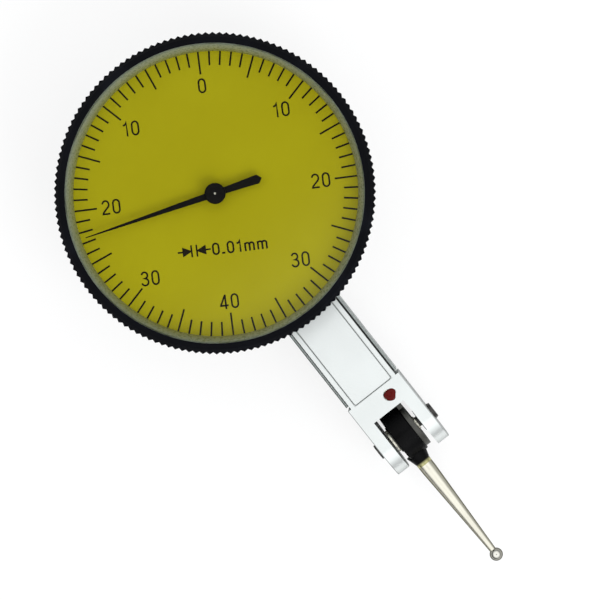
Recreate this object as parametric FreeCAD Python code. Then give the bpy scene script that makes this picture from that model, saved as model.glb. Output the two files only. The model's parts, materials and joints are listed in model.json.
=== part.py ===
import FreeCAD, Part
import math
import os

# Dial test indicator, in millimetres. +Z points out of the dial, -Y along the stylus, and the
# origin is on the dial's axis, in the flat back face of the body.

V = FreeCAD.Vector

# ---- What it measures ----
travel_per_turn = 0.8  # travel of the ball for one turn of the pointer
lever_swing = 1.5  # degrees that the lever turns each way

# ---- Gear train: sector, crown pinion, crown wheel, centre pinion ----
gear_module = 0.2
sector_full_teeth = 375  # on a whole circle of the sector's radius
sector_teeth = 9  # that are cut
crown_pinion_leaves = 10
crown_wheel_teeth = 41
centre_pinion_leaves = 10
backlash = 0.05  # width taken off each tooth and each leaf at the pitch line

# ---- Fits and clearances ----
running_fit = 0.03  # radial, shaft in bush
bezel_fit = 0.05  # radial, bezel on case
side_gap = 0.02  # between faces that rub
seam = 0.04  # round the cover plate
stop_gap = 0.02  # left at the end of the lever's swing
rim_gap = 0.05  # round the dial, its ring and the crystal
through_gap = 0.1  # round screws in through holes

# ---- Body ----
body_width = 8.1
body_height = 11.0
land_width = 7.1  # flat strips in front of and behind the rails
land_thickness = 1.4
root_width = 6.0  # across the bottoms of the rails' grooves
rail_face = 6.4  # height of the rail's outer face
rail_angle = 60.0
body_tail = 17.2  # rear end, behind the dial's axis
ear_reach = 3.7  # ear tips, beyond the pivot
ear_round = 3.5  # radius of the ears' corners
ear_back_rise = 1.3  # the back of the ears stands this far above the back face
ear_back_ramp = 3.0  # length of the slope up to it
head_length = 10.8  # ear tips to the front ends of the rails
run_out = 0.4  # gap between the rails and the head
edge_break = 0.12
fork_gap = 4.75
cavity_width = 4.4
cavity_floor = 0.8
cavity_end_wall = 0.8  # between the head and the cavity
wheel_room = 0.4  # clear of the crown wheel, behind it

# ---- Cover plate ----
cover_width = 5.8
cover_thickness = 0.8
cover_corner = 0.3
cover_lap = 3.0  # it reaches this far under the dial case

# ---- Stylus and its holder ----
drum_radius = 3.4
drum_width = 2.7
drum_left = -1.72  # left face
drum_gap = 0.15  # round the drum in the fork
neck_reach = 4.87  # end of the neck, from the pivot
neck_radius = 1.03
neck_flare = 0.45
neck_offset = -0.67  # the stylus lies left of the middle
bore_break = 0.15
shank_radius = 1.0
shank_tip_radius = 0.43
shank_collar = 0.9  # straight part before the taper
thread_radius = 0.6
thread_length = 2.4
ball_radius = 0.85

# ---- Lever, its clutch and pivots ----
lever_thickness = 0.64
lever_disc_radius = 3.1
arm_half_front = 1.5  # half the arm's height at the fork
arm_half_back = 0.85  # and before the sector
arm_room = 0.25  # clear of the arm, each side of its passage
sector_width = 0.6
sector_depth = 2.4  # from the pitch line to its back
lever_foot = 3.4  # length of the arm's foot that carries the sector
foot_set_back = 1.1  # the foot ends this far behind the pitch line
rivet_radius = 0.3
rivet_head = 0.15
rivet_spread = 1.6
hole_radius = 0.45  # lightening holes in the arm
clutch_radius = 0.9
clutch_head_radius = 1.6
clutch_head = 0.25
clutch_washer = 0.2
clutch_end = 0.2  # shaft beyond the lever
cone_depth = 0.35
cone_radius = 0.35
pivot_screw_radius = 0.7
pivot_head_radius = 1.15
pivot_head = 0.45
pivot_head_slot = 0.25
ear_washer = 0.2
ear_washer_radius = 1.55

# ---- Stops ----
stop_pin_radius = 0.4
stop_pin_place = 8.5  # from the pivot
stop_screw_place = 5.2  # from the pivot
stop_screw_radius = 0.5
stop_screw_head_radius = 0.72
stop_screw_head = 0.45
stop_screw_sunk = 0.2
seal_radius = 0.8
seal_height = 0.28

# ---- Crown wheel and its arbor ----
crown_face = 0.8  # length of the teeth, measured along the radius
crown_web = 0.5
crown_holes = 5
crown_hole_radius = 0.8
crown_arbor_radius = 0.35
crown_hub_radius = 0.75
crown_hub = 0.35
arbor_pivot_radius = 0.17
crown_leaf_length = 0.95
bush_radius = 0.8
bush_length = 0.9

# ---- Centre arbor, bridge and bush ----
centre_arbor_radius = 0.42
centre_leaf_over = 0.15  # the leaves are longer than the teeth, each end
arbor_tip_radius = 0.13
bridge_height = 7.2  # underside
bridge_thickness = 0.8
bridge_nose = 0.55  # round the arbor
bridge_foot = 3.8
bridge_screw_radius = 0.5
bridge_screw_length = 2.0
bridge_head_radius = 0.95
bridge_head = 0.5
centre_bush_radius = 1.3
centre_bush_flange = 0.3
centre_bush_lip = 0.6
centre_bush_drop = 0.4

# ---- Hairspring ----
spring_turns = 4
spring_chords = 20  # straight pieces in a turn
spring_thickness = 0.06
spring_height = 0.25
spring_outer = 3.3
collet_radius = 0.95
collet_height = 0.55
collet_gap = 0.15
stud_radius = 0.35

# ---- Dial case ----
case_wall = 1.05
case_floor = 1.0
case_height = 2.8
ring_groove = 0.45
ring_height = 0.5
ring_place = 1.0  # above the case's floor
ring_split = 24.0  # degrees left open
case_screw_radius = 0.45
case_screw_length = 1.2
case_screw_head_radius = 0.85
case_screw_head = 0.5
case_screw_side = 2.87  # front pair, from the middle
case_screw_front = 9.0
case_screw_rear = 12.0
case_screw_rear_side = 1.9

# ---- Bezel, dial and crystal ----
bezel_diameter = 40.0  # over the knurl
bezel_skirt = 1.95  # wall round the case, from the knurl's tips to the case
knurl_teeth = 144
knurl_depth = 0.28
knurl_shoulder = 0.45  # plain edge above and below the knurl
bezel_height = 6.3
bezel_lift = 0.3  # bezel above the body
bezel_chamfer = 0.35
bezel_flange_width = 1.65  # ledge that the dial lies on
bezel_flange_gap = 0.2  # above the case's wall
bezel_flange = 0.5
bezel_rim = 1.37  # width of the rim round the window
lip_reach = 0.22  # the rim's lip over the crystal's edge
dial_thickness = 0.4
dial_hole = 0.9
ring_set_back = 0.13  # top edge of the conical ring, inside the window
ring_lean = 0.7  # its foot is this much narrower
ring_rise = 1.9
crystal_edge = 0.45
crystal_lip = 0.2  # metal over the crystal's edge
crystal_rise = 0.3  # above the bezel's rim
crystal_bevel = 0.75
ring_land = 0.2  # upright foot of the conical ring

# ---- Pointer ----
needle_angle = 70.1  # degrees from +Y, anticlockwise seen from the front
needle_gap = 0.95  # from the needle's tip to the foot of the ring
needle_width = 0.67
needle_tip_width = 0.15
tail_length = 6.1
tail_width = 0.72
tail_end_width = 1.13
tail_point = 0.45
needle_thickness = 0.15
needle_clearance = 0.85  # above the dial
hub_radius = 1.31
hub_height = 0.6
hub_neck_radius = 0.6
hub_chamfer = 0.12

# ---- Worked out from the sizes above ----
sector_radius = gear_module * sector_full_teeth / 2
crown_pinion_radius = gear_module * crown_pinion_leaves / 2
crown_radius = gear_module * crown_wheel_teeth / 2
centre_pinion_radius = gear_module * centre_pinion_leaves / 2
gear_ratio = sector_full_teeth / crown_pinion_leaves * crown_wheel_teeth / centre_pinion_leaves
stylus_reach = travel_per_turn * gear_ratio / (2 * math.pi)
addendum = 0.9 * gear_module
dedendum = 1.25 * gear_module
tooth_half = math.pi * gear_module / 4 - backlash / 2

axis_height = body_height / 2  # of the pivot and of the crown wheel
pivot_y = -(sector_radius + crown_pinion_radius)
ball_y = pivot_y - stylus_reach
ear_tip = pivot_y - ear_reach
head_end = ear_tip + head_length
slot_end = pivot_y + drum_radius + drum_gap
cavity_front = head_end + cavity_end_wall
crown_outer = crown_radius + crown_face / 2
cavity_back = crown_outer + wheel_room
bridge_top = bridge_height + bridge_thickness

drum_right = drum_left + drum_width
lever_left = drum_right + side_gap
lever_right = lever_left + lever_thickness
washer_left = drum_left - side_gap - clutch_washer
shaft_left = washer_left - clutch_head
shaft_right = lever_right + clutch_end
crown_face_x = -centre_pinion_radius + addendum  # tips of the crown wheel's teeth
crown_root_x = -centre_pinion_radius - dedendum
crown_back_x = crown_root_x - crown_web

bezel_radius = bezel_diameter / 2
case_radius = bezel_radius - bezel_skirt
window_radius = bezel_radius - bezel_rim
bezel_bore = window_radius + lip_reach  # round the dial, its ring and the crystal
bezel_flange_radius = bezel_bore - bezel_flange_width
ring_top_radius = window_radius - ring_set_back
ring_foot_radius = ring_top_radius - ring_lean
needle_length = ring_foot_radius - needle_gap
case_top = body_height + case_floor
cover_end = -case_radius + cover_lap
bezel_bottom = body_height + bezel_lift
bezel_top = bezel_bottom + bezel_height
flange_bottom = body_height + case_height + bezel_flange_gap
dial_bottom = flange_bottom + bezel_flange
dial_top = dial_bottom + dial_thickness
ring_top = dial_top + ring_rise
crystal_seat = bezel_top - crystal_lip - crystal_edge
needle_bottom = dial_top + needle_clearance
hub_bottom = needle_bottom + needle_thickness
hub_top = hub_bottom + hub_height
spring_bottom = case_top + centre_bush_flange + collet_gap + (collet_height - spring_height) / 2


# ---- Small helpers ----
def block(x0, x1, y0, y1, z0, z1):
    """A box between two corners."""
    return Part.makeBox(x1 - x0, y1 - y0, z1 - z0, V(x0, y0, z0))


def upright(radius, low, high, x=0.0, y=0.0):
    """A cylinder along Z."""
    return Part.makeCylinder(radius, high - low, V(x, y, low))


def crosswise(radius, left, right, y, z):
    """A cylinder along X."""
    return Part.makeCylinder(radius, right - left, V(left, y, z), V(1, 0, 0))


def prism(points, sweep):
    """A closed outline of straight lines, swept along a vector."""
    wire = Part.makePolygon(points + points[:1])
    return Part.Face(wire).extrude(sweep)


def turned(section):
    """(radius, height) corners turned about the dial's axis."""
    corners = [V(radius, 0, height) for radius, height in section]
    face = Part.Face(Part.makePolygon(corners + corners[:1]))
    return face.revolve(V(0, 0, 0), V(0, 0, 1), 360)


def turned_crosswise(section, y, z):
    """(place along X, radius) corners turned about an axis along X."""
    corners = [V(place, y + radius, z) for place, radius in section]
    face = Part.Face(Part.makePolygon(corners + corners[:1]))
    return face.revolve(V(0, y, z), V(1, 0, 0), 360)


def both_sides(shape):
    """The shape and its mirror image across the body's middle plane."""
    return [shape, shape.mirror(V(0, 0, 0), V(1, 0, 0))]


def front_and_back(shape):
    """The shape and its mirror image across the plane halfway up the body."""
    return [shape, shape.mirror(V(0, 0, axis_height), V(0, 0, 1))]


def broken_edges(shape, picks, size):
    """The shape with the edges chamfered that picks() accepts."""
    edges = [edge for edge in shape.Edges if picks(edge)]
    return shape.makeChamfer(size, edges)


def arm_half(place):
    """Half the arm's height at a distance from the pivot."""
    front = drum_radius + drum_gap
    back = sector_radius - foot_set_back - lever_foot
    share = min(max((place - front) / (back - front), 0), 1)
    return arm_half_front + (arm_half_back - arm_half_front) * share


def arm_travel(place):
    """How far the arm's edge moves at the end of the swing."""
    return place * math.sin(math.radians(lever_swing))


# ---- Gear teeth ----
def leaf_corners(leaves, phase):
    """Outline of a pinion: radial flanks up to the pitch circle, then leaves that narrow."""
    radius = gear_module * leaves / 2
    root = radius - dedendum
    tip = radius + addendum
    flank = tooth_half / radius
    nose = 0.35 * tooth_half / tip
    corners = []
    for leaf in range(leaves):
        middle = phase + 2 * math.pi * leaf / leaves
        for turn, reach in (
            (-flank, root),
            (-flank, radius),
            (-nose, tip),
            (nose, tip),
            (flank, radius),
            (flank, root),
        ):
            corners.append((reach * math.cos(middle + turn), reach * math.sin(middle + turn)))
    return corners


def tooth_corners():
    """Outline of a straight tooth: (across, out from the pitch line), root to root."""
    slope = math.tan(math.radians(20))
    root_half = tooth_half + dedendum * slope
    tip_half = tooth_half - addendum * slope * 1.4
    return [(-root_half, -dedendum), (-tip_half, addendum), (tip_half, addendum), (root_half, -dedendum)]


# ---- Body and what is fixed to it ----
def rail_groove():
    """Section of the groove in front of a rail, and of the step beside the front land:
    (depth under the rail's outer face, height)."""
    depth = (body_width - root_width) / 2
    step = (body_width - land_width) / 2
    lean = 1 / math.tan(math.radians(rail_angle))
    rail_edge = axis_height + rail_face / 2
    past = 1.0  # the cut runs on past the outer face
    land = body_height - land_thickness
    return [
        (depth, rail_edge - depth * lean),
        (-past, rail_edge + past * lean),
        (-past, body_height + past),
        (step, body_height + past),
        (step, land),
        (depth, land),
    ]


def rail_cuts():
    """The grooves along both sides and across the rear end, front and back."""
    side = prism(
        [V(body_width / 2 - depth, head_end - run_out, height) for depth, height in rail_groove()],
        V(0, body_tail - head_end + 2 * run_out, 0),
    )
    rear = prism(
        [V(-body_width, body_tail - depth, height) for depth, height in rail_groove()],
        V(2 * body_width, 0, 0),
    )
    cuts = front_and_back(rear)
    for groove in front_and_back(side):
        cuts += both_sides(groove)
    return cuts


def run_out_cuts():
    """The gaps between the head and the rails."""
    low, high = head_end - run_out, head_end
    outer = body_width / 2 + 1
    full = block(land_width / 2, outer, low, high, -1, body_height + 1)
    middle = block(root_width / 2, outer, low, high, land_thickness, body_height - land_thickness)
    return both_sides(full) + both_sides(middle)


def body_outline():
    """The body from the side, as a slab across its full width."""
    left = -body_width / 2
    ramp_start = pivot_y + ear_back_ramp
    corners = [
        (body_tail, 0),
        (body_tail, body_height),
        (ear_tip, body_height),
        (ear_tip, ear_back_rise),
        (pivot_y, ear_back_rise),
        (ramp_start, 0),
    ]
    slab = prism([V(left, y, z) for y, z in corners], V(body_width, 0, 0))
    front = [
        edge
        for edge in slab.Edges
        if abs(edge.BoundBox.YMax - ear_tip) < 1e-6 and edge.BoundBox.ZLength < 1e-6
    ]
    return slab.makeFillet(ear_round, front)


def cover_slab(clearance, top):
    """The cover plate's form, or its pocket when it has a clearance."""
    half = cover_width / 2 + clearance
    low = head_end - run_out + side_gap - clearance
    slab = block(-half, half, low, cover_end + clearance, body_height - cover_thickness, top)
    corners = [edge for edge in slab.Edges if edge.BoundBox.ZLength > cover_thickness / 2]
    return slab.makeFillet(cover_corner + clearance, corners)


def arm_passage():
    """The opening in the head that the lever's arm runs through."""
    tall = arm_half_front + arm_travel(cavity_front - pivot_y) + arm_room
    return block(
        lever_left - sector_width,
        lever_right + arm_room,
        slot_end - 1,
        cavity_front + 1,
        axis_height - tall,
        axis_height + tall,
    )


def stop_screw_tip():
    """Height of the stop screw's lower end."""
    return axis_height + arm_half(stop_screw_place) + arm_travel(stop_screw_place) + stop_gap


def stop_screw_x():
    """The stop screw stands over the middle of the lever's arm."""
    return (lever_left + lever_right) / 2


def stop_pin_z():
    """Height of the stop pin's axis, under the arm."""
    reach = arm_half(stop_pin_place) + arm_travel(stop_pin_place) + stop_gap
    return axis_height - reach - stop_pin_radius


def case_screw_places():
    """Where the four screws of the dial case stand."""
    front = [(side * case_screw_side, -case_screw_front) for side in (-1, 1)]
    rear = [(side * case_screw_rear_side, case_screw_rear) for side in (-1, 1)]
    return front + rear


def bridge_screw_y():
    """The bridge's screw is in the middle of its foot."""
    return cavity_back + bridge_foot / 2


def body_casting():
    """The milled body: rails, fork, cavity for the lever and the crown wheel."""
    half = cavity_width / 2
    stop_y = pivot_y + stop_screw_place
    body = body_outline().cut(rail_cuts() + run_out_cuts())
    cuts = [
        block(-fork_gap / 2, fork_gap / 2, ear_tip - 1, slot_end, -1, body_height + 1),
        block(-half, half, cavity_front, cavity_back, cavity_floor, body_height + 1),
        block(-half, half, cavity_back - 1, cavity_back + bridge_foot, bridge_height, body_height + 1),
        cover_slab(seam, body_height + 1),
        arm_passage(),
        crosswise(pivot_screw_radius, -body_width, body_width, pivot_y, axis_height),
        crosswise(bush_radius, -half - bush_length, half + bush_length, 0, axis_height),
        crosswise(
            stop_pin_radius, half - 1, half + bush_length, pivot_y + stop_pin_place, stop_pin_z()
        ),
        upright(stop_screw_radius, axis_height, body_height + 1, stop_screw_x(), stop_y),
        upright(
            stop_screw_head_radius + side_gap,
            body_height - stop_screw_sunk - stop_screw_head,
            body_height + 1,
            stop_screw_x(),
            stop_y,
        ),
        upright(
            bridge_screw_radius,
            bridge_height - bridge_screw_length,
            bridge_height + 1,
            0,
            bridge_screw_y(),
        ),
    ]
    for x, y in case_screw_places():
        cuts.append(upright(case_screw_radius, body_height - case_screw_length, body_height + 1, x, y))
    return body.cut(cuts)


def front_cover_plate():
    """The plate let flush into the front of the body, with a fine broken edge."""
    plate = cover_slab(0, body_height)
    return broken_edges(plate, lambda edge: edge.BoundBox.ZMin > body_height - 1e-4, edge_break / 2)


def dial_case():
    """The round tray on the body that the bezel turns on."""
    groove_low = case_top + ring_place - side_gap
    groove_high = case_top + ring_place + ring_height + side_gap
    tray = turned(
        [
            (centre_bush_radius, body_height),
            (case_radius, body_height),
            (case_radius, groove_low),
            (case_radius - ring_groove, groove_low),
            (case_radius - ring_groove, groove_high),
            (case_radius, groove_high),
            (case_radius, body_height + case_height),
            (case_radius - case_wall, body_height + case_height),
            (case_radius - case_wall, case_top),
            (centre_bush_radius, case_top),
        ]
    )
    hole = case_screw_radius + through_gap
    cuts = [upright(hole, 0, case_top + 1, x, y) for x, y in case_screw_places()]
    cuts.append(upright(stud_radius, 0, case_top + 1, 0, spring_outer + stud_radius))
    return tray.cut(cuts)


def slotted_screw(radius, length, head_radius, head, x, y, seat):
    """An upright screw with a slotted head that sits on the height seat."""
    screw = upright(radius, seat - length, seat, x, y).fuse(upright(head_radius, seat, seat + head, x, y))
    slot = head_radius / 4
    far = head_radius * 2
    return screw.cut(block(x - far, x + far, y - slot / 2, y + slot / 2, seat + head / 2, seat + far))


def case_screws():
    """Four screws from the case's floor into the body."""
    screws = []
    for x, y in case_screw_places():
        length = case_screw_length + case_floor
        screws.append(
            slotted_screw(
                case_screw_radius, length, case_screw_head_radius, case_screw_head, x, y, case_top
            )
        )
    return Part.makeCompound(screws)


def pivot_screw(inner_end, ear_face):
    """A cone-pointed screw in an ear, made for the right side: its cone ends inside the
    clutch shaft's countersink, and its slotted head stands out of the ear."""
    tip = inner_end - cone_depth + side_gap
    screw = turned_crosswise(
        [
            (tip, 0),
            (inner_end + side_gap, cone_radius),
            (inner_end + side_gap, pivot_screw_radius),
            (ear_face, pivot_screw_radius),
            (ear_face, pivot_head_radius),
            (ear_face + pivot_head, pivot_head_radius - edge_break),
            (ear_face + pivot_head, 0),
        ],
        pivot_y,
        axis_height,
    )
    half = pivot_head_slot / 2
    far = 2 * pivot_head_radius
    slot = block(
        ear_face + pivot_head / 2,
        ear_face + pivot_head + 1,
        pivot_y - far,
        pivot_y + far,
        axis_height - half,
        axis_height + half,
    )
    return screw.cut(slot)


def right_pivot_screw():
    """The screw in the right ear."""
    return pivot_screw(shaft_right, body_width / 2)


def left_pivot_screw():
    """The screw in the left ear."""
    return pivot_screw(-shaft_left, body_width / 2).mirror(V(0, 0, 0), V(1, 0, 0))


def ear_side_washer():
    """The thin washer on the inner face of the right ear."""
    face = fork_gap / 2
    ring = crosswise(ear_washer_radius, face - ear_washer, face, pivot_y, axis_height)
    return ring.cut(
        crosswise(pivot_screw_radius + running_fit, 0, face + 1, pivot_y, axis_height)
    )


def stop_screw():
    """The screw that limits the lever's swing one way."""
    seat = body_height - stop_screw_sunk - stop_screw_head
    return slotted_screw(
        stop_screw_radius,
        seat - stop_screw_tip(),
        stop_screw_head_radius,
        stop_screw_head,
        stop_screw_x(),
        pivot_y + stop_screw_place,
        seat,
    )


def lacquer_seal():
    """The drop of lacquer over the stop screw's head: it fills the countersink and stands
    above the face as a low dome."""
    sink = stop_screw_sunk
    plug = upright(
        stop_screw_head_radius, body_height - sink, body_height, stop_screw_x(), pivot_y + stop_screw_place
    )
    ball = (seal_radius**2 + seal_height**2) / (2 * seal_height)
    centre = V(stop_screw_x(), pivot_y + stop_screw_place, body_height + seal_height - ball)
    cap = Part.makeSphere(ball, centre).common(
        upright(2 * seal_radius, body_height, body_height + ball, centre.x, centre.y)
    )
    return plug.fuse(cap)


def stop_pin():
    """The pin under the arm that limits the lever's swing the other way."""
    wall = cavity_width / 2
    return crosswise(
        stop_pin_radius,
        lever_left,
        wall + bush_length,
        pivot_y + stop_pin_place,
        stop_pin_z(),
    )


def crown_bush(side):
    """A flanged bearing bush pressed into the cavity's wall."""
    wall = cavity_width / 2
    bush = crosswise(bush_radius, wall, wall + bush_length, 0, axis_height)
    bush = bush.cut(
        crosswise(arbor_pivot_radius + running_fit, 0, wall + bush_length / 2, 0, axis_height)
    )
    return bush if side > 0 else bush.mirror(V(0, 0, 0), V(1, 0, 0))


def centre_bush():
    """The flanged bush in the case's floor that guides the centre arbor."""
    bore = centre_arbor_radius + running_fit
    return turned(
        [
            (bore, body_height - centre_bush_drop),
            (centre_bush_radius, body_height - centre_bush_drop),
            (centre_bush_radius, case_top),
            (centre_bush_radius + centre_bush_lip, case_top),
            (centre_bush_radius + centre_bush_lip, case_top + centre_bush_flange),
            (bore, case_top + centre_bush_flange),
        ]
    )


def centre_bridge():
    """The bracket under the centre arbor: a nose past the crown wheel and a broad foot."""
    half = cavity_width / 2 - through_gap
    foot = cavity_back + side_gap
    back = cavity_back + bridge_foot - side_gap
    corners = [
        (-bridge_nose, -bridge_nose),
        (half, -bridge_nose),
        (half, back),
        (-half, back),
        (-half, foot),
        (-bridge_nose, foot),
    ]
    plate = prism([V(x, y, bridge_height) for x, y in corners], V(0, 0, bridge_thickness))
    plate = plate.cut(upright(arbor_pivot_radius + running_fit, 0, body_height))
    hole = bridge_screw_radius + through_gap
    return plate.cut(upright(hole, 0, body_height, 0, bridge_screw_y()))


def bridge_screw():
    """The screw through the bridge's foot."""
    length = bridge_screw_length + bridge_thickness
    return slotted_screw(
        bridge_screw_radius,
        length,
        bridge_head_radius,
        bridge_head,
        0,
        bridge_screw_y(),
        bridge_top,
    )


def hairspring():
    """The flat spiral that keeps the play of the gears on one side. Its radius grows evenly
    with the turn, from the collet to the stud."""
    steps = spring_turns * spring_chords
    inside = collet_radius + spring_thickness / 2
    rims = ([], [])
    for step in range(steps + 1):
        share = step / steps
        turn = math.pi / 2 - 2 * math.pi * spring_turns * (1 - share)
        for rim, offset in zip(rims, (-spring_thickness / 2, spring_thickness / 2)):
            radius = inside + (spring_outer - inside) * share + offset
            rim.append(V(radius * math.cos(turn), radius * math.sin(turn), spring_bottom))
    return prism(rims[0] + rims[1][::-1], V(0, 0, spring_height))


def hairspring_stud():
    """The post that holds the hairspring's outer end."""
    x, y = 0, spring_outer + stud_radius
    post = upright(stud_radius, body_height, spring_bottom + 2 * spring_height, x, y)
    slot_low = y - stud_radius - spring_thickness
    slot_high = spring_outer + spring_thickness / 2
    slot = block(-1, 1, slot_low, slot_high, spring_bottom, spring_bottom + 3 * spring_height)
    return post.cut(slot)


def bezel_spring_ring():
    """The split ring that sits in the case's groove and reaches into the bezel's."""
    low = case_top + ring_place
    inner = case_radius - ring_groove + side_gap
    outer = case_radius + ring_groove / 2
    ring = turned(
        [(inner, low), (outer, low), (outer, low + ring_height), (inner, low + ring_height)]
    )
    reach = 2 * case_radius
    half = math.radians(ring_split) / 2
    wedge = prism(
        [
            V(0, 0, low - 1),
            V(-reach * math.sin(half), reach * math.cos(half), low - 1),
            V(reach * math.sin(half), reach * math.cos(half), low - 1),
        ],
        V(0, 0, 3),
    )
    return ring.cut(wedge)


# ---- Lever, clutch and stylus ----
def sector_lever():
    """The lever: a disc on the pivot, a tapering arm with holes, and a foot for the sector."""
    foot_end = pivot_y + sector_radius - foot_set_back
    foot_start = foot_end - lever_foot
    seat = rivet_spread + 2 * rivet_radius
    half = arm_half_front
    corners = [
        (pivot_y, -half),
        (pivot_y + drum_radius + drum_gap, -half),
        (foot_start, -arm_half_back),
        (foot_start + lever_foot / 2, -seat),
        (foot_end, -seat),
        (foot_end, seat),
        (foot_start + lever_foot / 2, seat),
        (foot_start, arm_half_back),
        (pivot_y + drum_radius + drum_gap, half),
        (pivot_y, half),
    ]
    arm = prism([V(lever_left, y, axis_height + z) for y, z in corners], V(lever_thickness, 0, 0))
    disc = crosswise(lever_disc_radius, lever_left, lever_right, pivot_y, axis_height)
    lever = arm.fuse(disc).removeSplitter()
    cuts = [crosswise(clutch_radius, lever_left - 1, lever_right + 1, pivot_y, axis_height)]
    first = pivot_y + stop_pin_place + 2 * stop_pin_radius + hole_radius
    count = 6
    pitch = (foot_start - hole_radius - first) / (count - 1)
    for hole in range(count):
        cuts.append(
            crosswise(hole_radius, lever_left - 1, lever_right + 1, first + hole * pitch, axis_height)
        )
    for y, z in rivet_places():
        cuts.append(crosswise(rivet_radius, lever_left - 1, lever_right + 1, y, z))
    return lever.cut(cuts)


def rivet_places():
    """Where the sector's two rivets go through the lever's foot."""
    y = pivot_y + sector_radius - foot_set_back - 2.5 * rivet_radius
    return [(y, axis_height + side * rivet_spread) for side in (-1, 1)]


def sector_gear():
    """The toothed segment on the lever's foot. Its teeth lie on a circle about the pivot."""
    step = 2 * math.pi / sector_full_teeth
    reach = step * sector_teeth / 2
    outline = []
    for tooth in range(sector_teeth):
        middle = (tooth - (sector_teeth - 1) / 2) * step
        for across, out in tooth_corners():
            radius = sector_radius + out
            turn = middle + across / radius
            outline.append((radius * math.cos(turn), radius * math.sin(turn)))
    inner = sector_radius - sector_depth
    outline.append((inner * math.cos(reach), inner * math.sin(reach)))
    outline.append((inner * math.cos(reach), -inner * math.sin(reach)))
    points = [V(lever_left - sector_width, pivot_y + y, axis_height + z) for y, z in outline]
    gear = prism(points, V(sector_width, 0, 0))
    return gear.cut(
        [crosswise(rivet_radius, lever_left - 1, lever_right + 1, y, z) for y, z in rivet_places()]
    )


def sector_rivets():
    """Two rivets through sector and lever, each with a flat head on both sides."""
    rivets = []
    left = lever_left - sector_width
    for y, z in rivet_places():
        stem = crosswise(rivet_radius, left - rivet_head, lever_right + rivet_head, y, z)
        heads = [
            crosswise(1.5 * rivet_radius, left - rivet_head, left, y, z),
            crosswise(1.5 * rivet_radius, lever_right, lever_right + rivet_head, y, z),
        ]
        rivets.append(stem.fuse(heads).removeSplitter())
    return Part.makeCompound(rivets)


def clutch_shaft():
    """The shaft pressed into the lever. It carries the holder, and turns on the cones of the
    pivot screws, which enter its countersunk ends."""
    return turned_crosswise(
        [
            (shaft_left + cone_depth, 0),
            (shaft_left, cone_radius + side_gap),
            (shaft_left, clutch_head_radius),
            (shaft_left + clutch_head, clutch_head_radius),
            (shaft_left + clutch_head, clutch_radius),
            (shaft_right, clutch_radius),
            (shaft_right, cone_radius + side_gap),
            (shaft_right - cone_depth, 0),
        ],
        pivot_y,
        axis_height,
    )


def clutch_spring_washer():
    """The washer that presses the drum against the lever's disc."""
    left = washer_left
    ring = crosswise(clutch_head_radius * 1.2, left, left + clutch_washer, pivot_y, axis_height)
    return ring.cut(crosswise(clutch_radius + running_fit, left - 1, left + 1, pivot_y, axis_height))


def stylus_holder():
    """The drum in the fork and the neck that the stylus screws into."""
    drum = crosswise(drum_radius, drum_left, drum_right, pivot_y, axis_height)
    drum = broken_edges(drum, lambda edge: edge.Length > 1.5 * math.pi * drum_radius, edge_break)
    end = pivot_y - neck_reach
    neck = Part.makeCylinder(neck_radius, neck_reach, V(neck_offset, pivot_y, axis_height), V(0, -1, 0))
    flare_length = 1.5
    flare = Part.makeCone(
        neck_radius + neck_flare,
        neck_radius,
        flare_length,
        V(neck_offset, pivot_y - drum_radius + flare_length / 3, axis_height),
        V(0, -1, 0),
    )
    holder = drum.fuse([neck, flare]).removeSplitter()
    bore = crosswise(clutch_radius + running_fit, drum_left - 1, drum_right + 1, pivot_y, axis_height)
    thread = Part.makeCylinder(
        thread_radius, thread_length, V(neck_offset, end, axis_height), V(0, 1, 0)
    )
    return holder.cut([bore, thread])


def stylus_shank():
    """The tapered shank: a threaded end in the neck, a short straight collar, a long taper."""
    seat = pivot_y - neck_reach
    taper_start = seat - shank_collar
    ball_top = ball_y + math.sqrt(ball_radius**2 - shank_tip_radius**2)
    section = [
        (0, seat + thread_length),
        (thread_radius, seat + thread_length),
        (thread_radius, seat),
        (shank_radius, seat),
        (shank_radius, taper_start),
        (shank_tip_radius, ball_top),
        (0, ball_top),
    ]
    corners = [V(neck_offset + radius, y, axis_height) for radius, y in section]
    face = Part.Face(Part.makePolygon(corners + corners[:1]))
    shank = face.revolve(V(neck_offset, 0, axis_height), V(0, 1, 0), 360)
    return shank.cut(Part.makeSphere(ball_radius, V(neck_offset, ball_y, axis_height)))


def stylus_ball():
    """The hard ball at the end of the shank."""
    return Part.makeSphere(ball_radius, V(neck_offset, ball_y, axis_height))


# ---- Crown wheel ----
def crown_wheel():
    """The contrate wheel: a disc with holes, whose teeth stand up from its rim towards +X.
    A gap between two teeth faces +Z."""
    disc = crosswise(crown_outer, crown_back_x, crown_root_x, 0, axis_height)
    tooth = prism(
        [
            V(-centre_pinion_radius + out, across, axis_height + crown_outer - crown_face)
            for across, out in tooth_corners()
        ],
        V(0, 0, crown_face),
    )
    teeth = []
    axis = V(0, 0, axis_height)
    for number in range(crown_wheel_teeth):
        copy = tooth.copy()
        copy.rotate(axis, V(1, 0, 0), 360 * (number + 0.5) / crown_wheel_teeth)
        teeth.append(copy)
    limit = crosswise(crown_outer, crown_back_x, crown_face_x + 1, 0, axis_height)
    wheel = disc.fuse(teeth).common(limit)
    middle = (crown_hub_radius + crown_outer - crown_face) / 2
    cuts = [crosswise(crown_arbor_radius, crown_back_x - 1, 1, 0, axis_height)]
    for number in range(crown_holes):
        turn = 2 * math.pi * number / crown_holes
        cuts.append(
            crosswise(
                crown_hole_radius,
                crown_back_x - 1,
                1,
                middle * math.cos(turn),
                axis_height + middle * math.sin(turn),
            )
        )
    return wheel.cut(cuts)


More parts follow.
